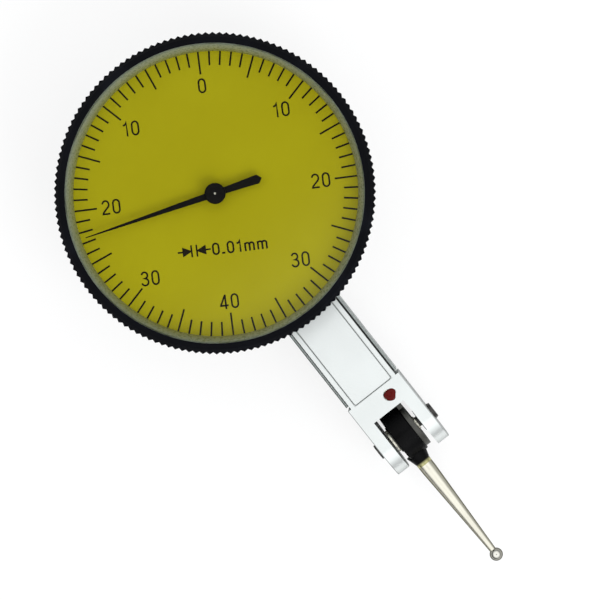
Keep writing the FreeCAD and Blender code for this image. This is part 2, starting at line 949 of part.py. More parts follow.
def crown_arbor():
    """The crosswise arbor with its pinion. A gap between two leaves faces the sector."""
    wall = cavity_width / 2
    body_end = wall - through_gap
    leaf_left = lever_left - sector_width / 2 - crown_leaf_length / 2
    pivots = crosswise(
        arbor_pivot_radius, -wall - 0.4 * bush_length, wall + 0.4 * bush_length, 0, axis_height
    )
    shaft = crosswise(crown_arbor_radius, -body_end, body_end, 0, axis_height)
    hub = crosswise(crown_hub_radius, crown_root_x, crown_root_x + crown_hub, 0, axis_height)
    phase = math.pi + math.pi / crown_pinion_leaves
    leaves = prism(
        [V(leaf_left, y, axis_height + z) for y, z in leaf_corners(crown_pinion_leaves, phase)],
        V(crown_leaf_length, 0, 0),
    )
    return pivots.fuse([shaft, hub, leaves])


# ---- Pointer ----
def centre_arbor():
    """The upright arbor with its pinion. One leaf points at the crown wheel."""
    leaf_low = axis_height + crown_radius - crown_face / 2 - centre_leaf_over
    leaf_high = axis_height + crown_radius + crown_face / 2 + centre_leaf_over
    post_radius = centre_arbor_radius * 0.7
    shaft = turned(
        [
            (0, bridge_height + side_gap),
            (arbor_pivot_radius, bridge_height + side_gap),
            (arbor_pivot_radius, bridge_top + side_gap),
            (centre_arbor_radius, bridge_top + side_gap),
            (centre_arbor_radius, dial_bottom - through_gap),
            (post_radius, dial_bottom - through_gap),
            (post_radius, hub_top - hub_chamfer),
            (arbor_tip_radius, hub_top - hub_chamfer),
            (arbor_tip_radius, hub_top + side_gap),
            (0, hub_top + side_gap),
        ]
    )
    corners = leaf_corners(centre_pinion_leaves, math.pi)
    leaves = prism([V(x, y, leaf_low) for x, y in corners], V(0, 0, leaf_high - leaf_low))
    return shaft.fuse(leaves)


def hairspring_collet():
    """The brass ring pressed on the arbor that holds the hairspring's inner end."""
    low = case_top + centre_bush_flange + collet_gap
    return turned(
        [
            (centre_arbor_radius, low),
            (collet_radius - side_gap, low),
            (collet_radius - side_gap, low + collet_height),
            (centre_arbor_radius, low + collet_height),
        ]
    )


def turned_to_reading(shape):
    """Turned from +Y to the pointer's place."""
    shape.rotate(V(0, 0, 0), V(0, 0, 1), needle_angle)
    return shape


def pointer_needle():
    """The flat needle, with a tail that widens to a blunt point, and a ring round the hub."""
    half, tip = needle_width / 2, needle_tip_width / 2
    tail, end = tail_width / 2, tail_end_width / 2
    corners = [
        (half, hub_radius / 2),
        (tip, needle_length - needle_tip_width),
        (0, needle_length),
        (-tip, needle_length - needle_tip_width),
        (-half, hub_radius / 2),
        (-tail, -hub_radius / 2),
        (-end, -tail_length + tail_point),
        (-end / 3, -tail_length),
        (end / 3, -tail_length),
        (end, -tail_length + tail_point),
        (tail, -hub_radius / 2),
    ]
    blade = prism([V(x, y, needle_bottom) for x, y in corners], V(0, 0, needle_thickness))
    ring = upright(hub_radius * 0.9, needle_bottom, needle_bottom + needle_thickness)
    blade = blade.fuse(ring).cut(upright(hub_neck_radius, needle_bottom - 1, needle_bottom + 1))
    return turned_to_reading(blade)


def pointer_hub():
    """The hub on the needle, with a neck through it and a chamfered edge."""
    bore = centre_arbor_radius * 0.7
    return turned(
        [
            (bore, dial_top + side_gap + needle_clearance / 3),
            (hub_neck_radius, dial_top + side_gap + needle_clearance / 3),
            (hub_neck_radius, hub_bottom),
            (hub_radius, hub_bottom),
            (hub_radius, hub_top - hub_chamfer),
            (hub_radius - hub_chamfer, hub_top),
            (arbor_tip_radius, hub_top),
            (arbor_tip_radius, hub_top - hub_chamfer),
            (bore, hub_top - hub_chamfer),
        ]
    )


# ---- Bezel, dial and crystal ----
def bezel():
    """The turned bezel: a groove for the spring ring, a flange for the dial, a bore with a
    lip over the crystal, and a straight knurl round the outside."""
    bore = case_radius + bezel_fit
    groove_low = case_top + ring_place - side_gap
    groove_high = case_top + ring_place + ring_height + side_gap
    groove = case_radius + ring_groove / 2 + bezel_fit
    outer = bezel_radius - knurl_depth
    lip_low = bezel_top - crystal_lip
    ring = turned(
        [
            (bore, bezel_bottom),
            (outer - bezel_chamfer, bezel_bottom),
            (outer, bezel_bottom + bezel_chamfer),
            (outer, bezel_top - bezel_chamfer),
            (outer - bezel_chamfer, bezel_top),
            (window_radius, bezel_top),
            (window_radius, lip_low),
            (bezel_bore, lip_low),
            (bezel_bore, dial_bottom),
            (bezel_flange_radius, dial_bottom),
            (bezel_flange_radius, flange_bottom),
            (bore, flange_bottom),
            (bore, groove_high),
            (groove, groove_high),
            (groove, groove_low),
            (bore, groove_low),
        ]
    )
    corners = []
    low = bezel_bottom + knurl_shoulder
    for half_step in range(2 * knurl_teeth):
        turn = math.pi * half_step / knurl_teeth
        radius = bezel_radius if half_step % 2 == 0 else outer
        corners.append(V(radius * math.cos(turn), radius * math.sin(turn), low))
    knurl = prism(corners, V(0, 0, bezel_height - 2 * knurl_shoulder))
    return ring.fuse(knurl.cut(upright(outer - knurl_depth, 0, bezel_top + 1)))


def crystal():
    """The window: its edge sits under the bezel's lip, above the conical ring, and its face
    stands a little proud of the bezel inside a broad bevel."""
    edge = bezel_bore - rim_gap
    shoulder = window_radius - rim_gap
    lip = bezel_top - crystal_lip
    return turned(
        [
            (0, crystal_seat),
            (edge, crystal_seat),
            (edge, lip - side_gap),
            (shoulder, lip - side_gap),
            (shoulder, lip),
            (shoulder - crystal_bevel, bezel_top + crystal_rise),
            (0, bezel_top + crystal_rise),
        ]
    )


def dial_plate():
    """The round plate that carries the scale."""
    return turned(
        [
            (dial_hole, dial_bottom),
            (bezel_bore - rim_gap, dial_bottom),
            (bezel_bore - rim_gap, dial_top),
            (dial_hole, dial_top),
        ]
    )


def dial_ring():
    """The conical ring between the dial and the crystal."""
    return turned(
        [
            (ring_foot_radius, dial_top),
            (bezel_bore - rim_gap, dial_top),
            (bezel_bore - rim_gap, crystal_seat),
            (ring_top_radius, crystal_seat),
            (ring_foot_radius, dial_top + ring_land),
        ]
    )


parts = {
    "body_casting": body_casting,
    "front_cover_plate": front_cover_plate,
    "dial_case": dial_case,
    "case_screws": case_screws,
    "left_pivot_screw": left_pivot_screw,
    "right_pivot_screw": right_pivot_screw,
    "ear_side_washer": ear_side_washer,
    "stop_screw": stop_screw,
    "lacquer_seal": lacquer_seal,
    "stop_pin": stop_pin,
    "left_crown_bush": lambda: crown_bush(-1),
    "right_crown_bush": lambda: crown_bush(1),
    "centre_bush": centre_bush,
    "centre_bridge": centre_bridge,
    "bridge_screw": bridge_screw,
    "hairspring": hairspring,
    "hairspring_stud": hairspring_stud,
    "bezel_spring_ring": bezel_spring_ring,
    "sector_lever": sector_lever,
    "sector_gear": sector_gear,
    "sector_rivets": sector_rivets,
    "clutch_shaft": clutch_shaft,
    "clutch_spring_washer": clutch_spring_washer,
    "stylus_holder": stylus_holder,
    "stylus_shank": stylus_shank,
    "stylus_ball": stylus_ball,
    "crown_wheel": crown_wheel,
    "crown_arbor": crown_arbor,
    "centre_arbor": centre_arbor,
    "hairspring_collet": hairspring_collet,
    "pointer_needle": pointer_needle,
    "pointer_hub": pointer_hub,
    "bezel": bezel,
    "crystal": crystal,
    "dial_plate": dial_plate,
    "dial_ring": dial_ring,
}

os.makedirs("parts", exist_ok=True)
for name, make in parts.items():
    make().exportStep(f"parts/{name}.step")
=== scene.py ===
# %% [markdown]
# # A dial test indicator
# A small lever gauge: a slim chromed body with dovetail rails, a hinged stylus with a ball, and a
# round dial under a knurled black bezel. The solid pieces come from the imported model, and this
# file adds the finishes, the printed dial and the small shapes that only looks need.

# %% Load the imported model
import bpy
import json
import math
import numpy as np
from mathutils import Matrix, Vector


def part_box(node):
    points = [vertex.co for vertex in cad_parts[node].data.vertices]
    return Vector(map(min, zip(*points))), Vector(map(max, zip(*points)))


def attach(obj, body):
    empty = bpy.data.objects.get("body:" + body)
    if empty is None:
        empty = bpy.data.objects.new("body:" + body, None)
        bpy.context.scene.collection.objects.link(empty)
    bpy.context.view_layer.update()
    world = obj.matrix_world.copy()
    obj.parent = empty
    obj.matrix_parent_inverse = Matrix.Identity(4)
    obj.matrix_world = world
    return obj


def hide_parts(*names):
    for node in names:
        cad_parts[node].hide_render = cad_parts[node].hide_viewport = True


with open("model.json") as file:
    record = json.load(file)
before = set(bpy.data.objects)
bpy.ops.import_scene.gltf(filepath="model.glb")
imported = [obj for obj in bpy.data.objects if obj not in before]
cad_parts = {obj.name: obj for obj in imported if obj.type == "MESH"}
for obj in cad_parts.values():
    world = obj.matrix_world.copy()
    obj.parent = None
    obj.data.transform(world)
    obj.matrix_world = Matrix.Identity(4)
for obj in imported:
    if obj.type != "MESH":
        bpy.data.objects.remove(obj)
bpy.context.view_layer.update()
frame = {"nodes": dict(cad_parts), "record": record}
nodes = frame["nodes"]
MM = 0.001

# %% [markdown]
# ## Places read from the model
# The dial's axis is the Z axis, and the body runs along Y with the stylus at its low end.
# Everything that is drawn on the dial takes its height from the dial plate.

# %% Places
dial_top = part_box("dial_plate")[1].z
bezel_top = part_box("bezel")[1].z
body_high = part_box("body_casting")[1]
ring_low, ring_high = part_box("dial_ring")
cover_low, cover_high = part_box("front_cover_plate")
shank_low, shank_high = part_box("stylus_shank")
ball_low, ball_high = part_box("stylus_ball")
notch_y = cover_low.y - 0.02 * MM
print("dial top", round(dial_top / MM, 2), "mm, notches at y", round(notch_y / MM, 2), "mm")

# %% [markdown]
# ## The camera
# It looks straight down on the dial from about a third of a metre, a little from the right of
# the body, and it is rolled so that the stylus points down to the right. It is aimed at a point
# on the body between dial and stylus.

# %% Camera
camera_distance = 0.350
camera_roll = math.radians(38.25)  # of the body's long axis, anticlockwise from upright
camera_lean = math.radians(2.0)  # towards the body's right side
aim = Vector((0.00015, -0.01694, bezel_top))
field = 0.0743  # seen from side to side at the bezel's height

back = Vector((math.sin(camera_lean), 0, math.cos(camera_lean)))
up = Vector((math.sin(camera_roll), math.cos(camera_roll), 0))
right = up.cross(back).normalized()
up = back.cross(right).normalized()
camera_data = bpy.data.cameras.new("camera")
camera_data.sensor_width = 36.0
camera_data.lens = camera_data.sensor_width * camera_distance / field
camera_data.clip_start = 0.01
camera = bpy.data.objects.new("camera", camera_data)
facing = Matrix((right, up, back)).transposed().to_4x4()
camera.matrix_world = Matrix.Translation(aim + back * camera_distance) @ facing
bpy.context.scene.collection.objects.link(camera)
bpy.context.scene.camera = camera
print("lens", round(camera_data.lens, 1), "mm")

# %% [markdown]
# ## Shader expressions
# A material is easier to read as arithmetic than as boxes and wires. `Wire` stands for one
# output of a node. Adding, subtracting or multiplying wires adds the Math nodes, and a plain
# number stays a plain number until it meets a wire.

# %% A wire
class Wire:
    """One output socket, with arithmetic."""

    def __init__(self, bench, socket):
        self.bench = bench
        self.socket = socket

    def math(self, operation, *others):
        inputs = dict(enumerate((self, *others)))
        return self.bench.node("ShaderNodeMath", {"operation": operation}, inputs)

    def flipped(self, operation, other):
        """The operation with this wire second, as in 1 - wire."""
        inputs = {0: other, 1: self}
        return self.bench.node("ShaderNodeMath", {"operation": operation}, inputs)

    def __add__(self, other):
        return self.math("ADD", other)

    def __radd__(self, other):
        return self.flipped("ADD", other)

    def __sub__(self, other):
        return self.math("SUBTRACT", other)

    def __rsub__(self, other):
        return self.flipped("SUBTRACT", other)

    def __mul__(self, other):
        return self.math("MULTIPLY", other)

    def __rmul__(self, other):
        return self.flipped("MULTIPLY", other)

    def __truediv__(self, other):
        return self.math("DIVIDE", other)

    def smooth(self, low, high):
        """0 below low, 1 above high, and an S-shaped step between."""
        settings = {"interpolation_type": "SMOOTHSTEP"}
        inputs = {"Value": self, "From Min": low, "From Max": high}
        return self.bench.node("ShaderNodeMapRange", settings, inputs)


# %% [markdown]
# `Bench` is where nodes are made. It sets a node's options, then its inputs, and gives back the
# output as a wire. The rest of its methods are the few kinds of node that the finishes share.

# %% A bench to make nodes on
class Bench:
    """Makes nodes in one node tree."""

    def __init__(self, tree):
        self.tree = tree
        tree.nodes.clear()

    def node(self, kind, settings=None, inputs=None, output=0):
        """A node with its settings set first, then its sockets, by value or by wire."""
        made = self.tree.nodes.new(kind)
        for name, value in (settings or {}).items():
            setattr(made, name, value)
        for place, value in (inputs or {}).items():
            if isinstance(value, Wire):
                self.tree.links.new(value.socket, made.inputs[place])
            else:
                made.inputs[place].default_value = value
        return Wire(self, made.outputs[output])

    def place(self):
        """Where a point is on the piece, in metres."""
        return self.node("ShaderNodeTexCoord", output="Object")

    def stretched(self, scale):
        """Object coordinates, scaled along each axis, for a grain that runs one way."""
        return self.node("ShaderNodeMapping", None, {"Vector": self.place(), "Scale": scale})

    def parts(self, vector, axis):
        """One of a vector's three numbers."""
        return self.node("ShaderNodeSeparateXYZ", None, {0: vector}, axis)

    def noise(self, vector, scale, detail=3.0):
        inputs = {"Vector": vector, "Scale": scale, "Detail": detail}
        return self.node("ShaderNodeTexNoise", None, inputs)

    def blend(self, share, first, second):
        """A colour between two colours."""
        inputs = {"Factor": share, 6: first, 7: second}
        return self.node("ShaderNodeMix", {"data_type": "RGBA"}, inputs, 2)

    def bump(self, height, depth):
        inputs = {"Height": height, "Distance": depth, "Strength": 1.0}
        return self.node("ShaderNodeBump", None, inputs)

    def principled(self, inputs):
        return self.node("ShaderNodeBsdfPrincipled", None, inputs)

    def show(self, shader, kind="ShaderNodeOutputMaterial"):
        output = self.tree.nodes.new(kind)
        self.tree.links.new(shader.socket, output.inputs["Surface"])


# %% [markdown]
# Colours are given as three numbers. These helpers add the alpha that a socket wants, shade a
# colour, and start a new material.

# %% Colours and new materials
def rgba(colour):
    """Three numbers with a full alpha behind them."""
    return (*colour, 1.0)


def shaded(colour, share):
    """A colour made lighter or darker by a share of itself."""
    return rgba([value * share for value in colour])


def new_bench(name):
    material = bpy.data.materials.new(name)
    material.use_nodes = True
    return material, Bench(material.node_tree)


# %% [markdown]
# ## Metal
# Turned, ground and plated steel all look different because of their scratches. One function
# makes them: a fine grain, stretched along the way the metal was worked, lifts the roughness and
# bends the surface a little, and a broad soft stain keeps a large face from looking dead.

# %% Metal
def metal(
    name, colour, rough, grain=(4000, 4000, 4000), depth=2e-6, spread=0.08, stain=0.06,
    edge=(1, 1, 1), dark_mask=None, dark_colour=(0.02, 0.02, 0.02),
):
    """A worked metal: roughness is a base plus grain times spread; colour varies by stain.
    Edge tints the glancing reflection, and the dark mask says where the colour turns dark: oil in
    a seam, and painted shade."""
    material, bench = new_bench(name)
    scratches = bench.noise(bench.stretched(grain), 1.0, 4.0)
    cloud = bench.noise(bench.place(), 160.0, 2.0)
    shown = bench.blend(cloud.smooth(0.3, 0.7), shaded(colour, 1 - stain), rgba(colour))
    # Where the mask says, the colour is darkened: the seam's oil, and painted shade.
    if dark_mask:
        shown = bench.blend(dark_mask(bench), shown, rgba(dark_colour))
    bench.show(bench.principled({
        "Base Color": shown,
        "Specular Tint": rgba(edge),
        "Metallic": 1.0,
        "Roughness": rough + (scratches - 0.5) * spread + (cloud - 0.5) * spread,
        "Normal": bench.bump(scratches, depth),
    }))
    return material


# %% [markdown]
# ### The plated body
# A thin line of oil fills the seam round the cover plate. The two grooves beside the rails are
# painted dark, painted shade where shadow lies deep in them, and the flanks are painted greyer
# than the front, most of all on the left: painted shade for the dim room that they reflect.

# %% Where the body is oiled, and where shade is painted on it
seam_half, seam_dark = 0.16 * MM, 0.30
# Painted shade: the grooves are darkened where shadow lies deep in them.
groove_middle, groove_half, groove_shade_amount = 3.62 * MM, 0.20 * MM, 0.97
groove_from, groove_to = 1.10 * MM, 3.0 * MM  # under the front, and the same over the back
flank = body_high.x - 0.07 * MM
# Painted shade on the flanks, darker on the left, and lighter along the rails on the right.
left_shade_amount, right_shade_amount, rail_shade_relief = 0.60, 0.32, 0.24


def near(wire, line_place, half):
    """1 on a line, 0 further from it than half."""
    return 1.0 - (wire - line_place).math("ABSOLUTE").smooth(half * 0.35, half)


def groove_depths(z):
    """1 between groove_from and groove_to, going in from the front or from the back."""
    from_mid = (z - body_high.z / 2).math("ABSOLUTE")
    deepest, shallowest = body_high.z / 2 - groove_to, body_high.z / 2 - groove_from
    inner = from_mid.smooth(deepest - 0.1 * MM, deepest)
    return inner * (1.0 - from_mid.smooth(shallowest - 0.1 * MM, shallowest))


def body_film(bench):
    """Oil in the seam round the cover, and painted shade in the two grooves and along the flanks.
    """
    place = bench.place()
    x, y, z = (bench.parts(place, axis) for axis in range(3))
    wide = x.math("ABSOLUTE")
    outside_cover = (wide - cover_high.x).math("MAXIMUM", cover_low.y - y)
    seam = near(outside_cover, 0.0, seam_half) * seam_dark
    behind_head = y.smooth(notch_y - 0.1 * MM, notch_y)
    ahead_of_end = 1.0 - y.smooth(body_high.y - 0.15 * MM, body_high.y - 0.05 * MM)
    groove_shade = near(wide, groove_middle, groove_half) * groove_depths(z)
    groove_shade = groove_shade * behind_head * ahead_of_end * groove_shade_amount
    # Painted shade on the two flanks.
    left_flank_shade = (0.0 - x).smooth(flank - 0.03 * MM, flank) * left_shade_amount
    right_flank_shade = x.smooth(flank - 0.03 * MM, flank) * (right_shade_amount - rail_shade_relief * behind_head)
    return seam.math("MAXIMUM", groove_shade).math("MAXIMUM", left_flank_shade + right_flank_shade)


along_body = (9000, 900, 9000)
# The plated body's colour holds the seam's oil and the painted shade of its grooves and flanks.
satin_chrome = metal(
    "satin_chrome", (0.92, 0.955, 0.94), 0.36, along_body,
    depth=1e-6, spread=0.10, stain=0.02, edge=(0.5, 0.5, 0.5), dark_mask=body_film,
)
print("the flanks' grey starts", round(flank / MM, 2), "mm from the middle")

# %% [markdown]
# ### The stylus
# Its cone and its ball are ground bright, and painted shade darkens them below the top and on
# the flanks, for the dim room that those slopes reflect. The cone's own radius falls evenly from
# root to tip.

# %% Where shade is painted on the stylus
stylus_z = (ball_low.z + ball_high.z) / 2
shank_root, shank_tip = (shank_high.x - shank_low.x) / 2, 0.43 * MM
ball_radius = (ball_high.z - ball_low.z) / 2
shade_from, shade_full = 0.45, 0.88


def below_top(z, radius, bright_above):
    """Painted shade by height over the stylus's axis, as a share of its radius there."""
    return (1.0 - ((z - stylus_z) / radius).smooth(shade_from, bright_above)) * shade_full


def shank_film(bench):
    place = bench.place()
    y, z = bench.parts(place, 1), bench.parts(place, 2)
    share = (y - shank_high.y) / (ball_high.y - shank_high.y)
    radius = (shank_root + (shank_tip - shank_root) * share).math("MAXIMUM", shank_tip)
    return below_top(z, radius, 1.08)


def ball_film(bench):
    return below_top(bench.parts(bench.place(), 2), ball_radius, 1.10)


# %% [markdown]
# ### Steels, brass and bronze
# The stylus and the arbors are bright and a little warm. Screws and washers are oiled and dark,
# the wheels are brass, and the springs are bronze.

# %% The other metals
fine_grain, ball_grain = (5000, 5000, 5000), (6000, 6000, 6000)
polish_depth = 5e-7
warm = (0.93, 0.90, 0.77)
bright_steel = metal(
    "bright_steel", warm, 0.26, fine_grain,
    depth=polish_depth, spread=0.06, stain=0.08, edge=(0.3, 0.3, 0.25),
)
# The shank and the ball are painted darker on their flanks and underside: painted shade.
shank_steel = metal(
    "shank_steel", warm, 0.30, fine_grain,
    depth=polish_depth, spread=0.06, stain=0.10, edge=(0.1, 0.1, 0.08),
    dark_mask=shank_film, dark_colour=(0.155, 0.148, 0.100),
)
ground_ball = metal(
    "ball_carbide", (0.90, 0.88, 0.80), 0.14, ball_grain,
    depth=polish_depth, spread=0.05, stain=0.10, edge=(0.1, 0.1, 0.1),
    dark_mask=ball_film, dark_colour=(0.20, 0.195, 0.165),
)
grey_steel = metal("grey_steel", (0.11, 0.11, 0.10), 0.42, fine_grain)
oiled_steel = metal("oiled_steel", (0.075, 0.073, 0.070), 0.35, fine_grain)
brass = metal("brass", (0.80, 0.60, 0.28), 0.28)
bronze = metal("spring_bronze", (0.62, 0.42, 0.24), 0.25)
print(len(bpy.data.materials), "materials so far")

# %% [markdown]
# ## Black finishes
# The bezel is anodised and satin, the holder is oxide black and oily, and the needle is painted.
# Black is never quite black: a fine speckle in the roughness makes the highlight break up.

# %% Black finishes
def black(name, colour, rough, speckle, depth, bare=None, bare_colour=(0.5, 0.5, 0.4)):
    """A dark coat with a speckled roughness, lighter in broad patches, and gone where
    bare(bench) is 1."""
    material, bench = new_bench(name)
    fine_speckle = bench.noise(bench.place(), speckle, 3.0)
    broad = bench.noise(bench.place(), 240.0, 2.0)
    shown = bench.blend(broad.smooth(0.45, 0.85), rgba(colour), shaded(colour, 2.2))
    metallic = 0.0
    if bare:
        metallic = bare(bench)
        shown = bench.blend(metallic, shown, rgba(bare_colour))
    bench.show(bench.principled({
        "Base Color": shown,
        "Metallic": metallic,
        "Roughness": rough + (fine_speckle - 0.5) * 0.16,
        "Specular IOR Level": 0.05,
        "Normal": bench.bump(fine_speckle, depth),
    }))
    return material


bare_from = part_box("stylus_holder")[0].y + 0.45 * MM


def worn_neck(bench):
    """The coat ends just before the neck does, where the stylus is screwed in."""
    y = bench.parts(bench.place(), 1)
    return 1.0 - y.smooth(bare_from - 0.25 * MM, bare_from + 0.15 * MM)


soot = (0.0028, 0.0028, 0.0030)
anodised = black("black_bezel", (0.0022, 0.0025, 0.0038), 0.42, 9000.0, 4e-6)
case_black = black("black_case", (0.005, 0.005, 0.006), 0.50, 6000.0, 4e-6)
oxide = black("black_steel", soot, 0.28, 5000.0, 2e-6)
# Where the coat ends, the bare neck is bare metal, and its yellowish colour is a painted
# reflection of the yellow dial.
holder_black = black(
    "holder_black", soot, 0.28, 5000.0, 2e-6, bare=worn_neck, bare_colour=(0.50, 0.48, 0.24)
)
needle_paint = black("black_paint", (0.0040, 0.0034, 0.0034), 0.45, 8000.0, 1e-6)
print("the holder's coat ends at y", round(bare_from / MM, 2), "mm")

# %% [markdown]
# ## The dial's lacquer, the grey ring and the window
# The dial is a warm lemon yellow, very even, with a faint tooth like fine paper. The conical
# ring is a greenish grey. The window only adds reflections: a mix of clear and gloss, driven by
# Fresnel, lets the lamps reach the dial without noise.

# %% Lacquer, ring and window
def lacquer(name, colour, other, rough, tooth, depth, coat=0.0):
    """A printed or painted coat: two near colours in soft clouds, with a fine tooth."""
    material, bench = new_bench(name)
    cloud = bench.noise(bench.place(), 90.0, 2.0)
    paper = bench.noise(bench.place(), tooth, 2.0)
    bench.show(bench.principled({
        "Base Color": bench.blend(cloud.smooth(0.3, 0.7), rgba(colour), rgba(other)),
        "Roughness": rough + (paper - 0.5) * 0.1,
        "Specular IOR Level": 0.08,
        "Coat Weight": coat,
        "Coat Roughness": 0.05,
        "Normal": bench.bump(paper, depth),
    }))
    return material


def ring_coat(name, foot, rim):
    """The cone takes the dial's yellow at its foot and is a cooler grey at its rim."""
    material, bench = new_bench(name)
    rise = bench.parts(bench.place(), 2).smooth(ring_low.z, ring_high.z)
    paper = bench.noise(bench.place(), 3000.0, 2.0)
    bench.show(bench.principled({
        "Base Color": bench.blend(rise, rgba(foot), rgba(rim)),
        "Roughness": 0.28 + (paper - 0.5) * 0.1,
        "Specular IOR Level": 0.3,
        "Normal": bench.bump(paper, 1e-6),
    }))
    return material


def clear_window(name):
    """Clear, with a mirror share that grows as the view grows more slanting. A back face
    mirrors nothing, so no light is trapped inside the thin plate."""
    material, bench = new_bench(name)
    mirror = {"Base Color": rgba((1, 1, 1)), "Metallic": 1.0, "Roughness": 0.04}
    gloss = bench.principled(mirror)
    clear = bench.node("ShaderNodeBsdfTransparent", None, {"Color": rgba((0.985, 0.99, 0.985))})
    behind = bench.node("ShaderNodeNewGeometry", output="Backfacing")
    share = bench.node("ShaderNodeFresnel", None, {"IOR": 1.49}) * (1.0 - behind)
    bench.show(bench.node("ShaderNodeMixShader", None, {0: share, 1: clear, 2: gloss}))
    return material


lemon, lemon_light = (0.352, 0.310, 0.002), (0.366, 0.326, 0.003)
crimson, crimson_light = (0.028, 0.0006, 0.0005), (0.115, 0.0035, 0.002)
dial_yellow = lacquer("yellow_dial", lemon, lemon_light, 0.60, 4000.0, 1e-6)
ring_grey = ring_coat("grey_ring", (0.205, 0.205, 0.050), (0.235, 0.265, 0.20))
seal_red = lacquer("red_lacquer", crimson, crimson_light, 0.22, 2400.0, 2e-5, 0.08)
window = clear_window("clear_acrylic")
ink = lacquer("scale_ink", (0.006, 0.0045, 0.001), (0.009, 0.007, 0.002), 0.6, 6000.0, 5e-7)
print(len(bpy.data.materials), "materials")

# %% [markdown]
# ## Dressing the nodes
# The record says which finish each node has. A few pieces then get one of their own: the holder
# with its bare neck, the ground shank, and the small oiled screws and washer.

# %% Each node gets its finish by the record's slot
finishes = {
    "satin_chrome": satin_chrome,
    "black_case": case_black,
    "bright_steel": bright_steel,
    "black_steel": oxide,
    "grey_steel": grey_steel,
    "red_lacquer": seal_red,
    "brass": brass,
    "spring_bronze": bronze,
    "ball_carbide": ground_ball,
    "black_paint": needle_paint,
    "black_bezel": anodised,
    "clear_acrylic": window,
    "yellow_dial": dial_yellow,
    "grey_ring": ring_grey,
}
own_finishes = {
    "stylus_holder": holder_black,
    "stylus_shank": shank_steel,
    "left_pivot_screw": oiled_steel,
    "right_pivot_screw": oiled_steel,
    "clutch_spring_washer": oiled_steel,
}
for part in frame["record"]["subparts"]:
    piece = nodes[part["node"]]
    piece.data.materials.clear()
    piece.data.materials.append(finishes[part["material_slot"]])
for name, finish in own_finishes.items():
    nodes[name].data.materials[0] = finish
print(len(finishes), "finishes on", len(nodes), "nodes,", len(own_finishes), "with their own")

# %% [markdown]
# ## The printed scale
# Print is drawn as thin flat shapes a hair above the lacquer. The dial's zero is turned from the
# body's axis, because the bezel was turned to set it, so each shape is drawn in the dial's own
# plane and then turned with it. All of it rides on the bezel.

# %% Helpers for flat print
zero_turn = math.radians(-31.05)  # of the dial's zero from +Y, anticlockwise
print_lift = 0.020 * MM


def on_dial(points):
    """Points in the dial's own plane (x right, y towards zero) moved onto the dial plate."""
    points = np.asarray(points, float)
    c, s = math.cos(zero_turn), math.sin(zero_turn)
    x = points[:, 0] * c - points[:, 1] * s
    y = points[:, 0] * s + points[:, 1] * c
    return np.column_stack([x, y, np.full(len(points), dial_top + print_lift)])


def new_piece(name, corners, faces, material, body):
    """A mesh made a piece of the object, riding on one of its bodies."""
    faces = [[int(corner) for corner in face] for face in faces]
    mesh = bpy.data.meshes.new(name)
    mesh.from_pydata(np.asarray(corners, float).tolist(), [], faces)
    mesh.materials.append(material)
    mesh.validate()
    piece = bpy.data.objects.new(name, mesh)
    bpy.context.scene.collection.objects.link(piece)
    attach(piece, body)
    return piece


def joined(shapes):
    """Several (corners, faces) as one, with each shape's faces counted on from the last."""
    corners, faces, used = [], [], 0
    for own_corners, own_faces in shapes:
        corners.append(own_corners)
        faces += [[corner + used for corner in face] for face in own_faces]
        used += len(own_corners)
    return np.vstack(corners), faces


# %% [markdown]
# ### The divisions
# There are eighty round the dial, every fifth one longer. All the bars come from one array: an
# inner and an outer radius, and a half width.

# %% The divisions
divisions = 80
short_in, long_in, scale_out = 16.02 * MM, 14.97 * MM, 17.83 * MM
tick_half = 0.110 * MM


def bars(radius_in, radius_out, turns, half_width):
    """Corners and faces of bars that point at the middle, one for each turn."""
    across = np.array([-1, 1, 1, -1]) * half_width
    out = np.stack([radius_in, radius_in, radius_out, radius_out], axis=1)
    c, s = np.cos(turns)[:, None], np.sin(turns)[:, None]
    corners = np.stack([across * c + out * s, -across * s + out * c], axis=2).reshape(-1, 2)
    return corners, np.arange(len(turns) * 4).reshape(-1, 4)[:, ::-1]


count = np.arange(divisions)
inner = np.where(count % 5 == 0, long_in, short_in)
outer = np.full(divisions, scale_out)
corners, faces = bars(inner, outer, 2 * np.pi * count / divisions, tick_half)
new_piece("scale_divisions", on_dial(corners), faces, ink, "bezel")
print(divisions, "divisions, each", 360 / divisions, "degrees")

# %% [markdown]
# ## Numbers as pen strokes
# The figures are plain: a nought is a rounded ring, a one is a stem with a flag. Each is drawn
# as one or more pen lines on a unit box, and `stroke` turns a line into a ribbon of even width
# by stepping to both sides of it, along the line's own normal.

# %% Pen lines
def arc(cx, cy, rx, ry, start, end, steps=14):
    """Points on an ellipse's arc, in degrees anticlockwise from the right."""
    t = np.radians(np.linspace(start, end, steps))
    return np.column_stack([cx + rx * np.cos(t), cy + ry * np.sin(t)])


def line(*points):
    return np.array(points, float)


def stroke(points, width):
    """A ribbon: each point steps half a width to both sides, along the mean of the normals of
    the two runs that meet there, lengthened at a corner so that the width stays even."""
    shortest = width / 50
    steps = np.linalg.norm(np.diff(points, axis=0), axis=1)
    points = points[np.concatenate([[True], steps > shortest])]
    runs = np.diff(points, axis=0)
    runs /= np.linalg.norm(runs, axis=1)[:, None]
    normals = np.column_stack([-runs[:, 1], runs[:, 0]])
    before = np.vstack([normals[:1], normals])
    after = np.vstack([normals, normals[-1:]])
    if np.linalg.norm(points[0] - points[-1]) < shortest:
        before[0], after[-1] = normals[-1], normals[0]
    mean = before + after
    mean /= np.linalg.norm(mean, axis=1)[:, None]
    step = width / 2 / np.maximum((mean * after).sum(axis=1), 0.45)
    corners = np.vstack([points + mean * step[:, None], points - mean * step[:, None]])
    n = len(points)
    k = np.arange(n - 1)
    return corners, np.column_stack([k, k + n, k + 1 + n, k + 1])


# %% [markdown]
# ### The signs
# Only the signs that the dial needs are drawn: five figures, the point and the letter m.

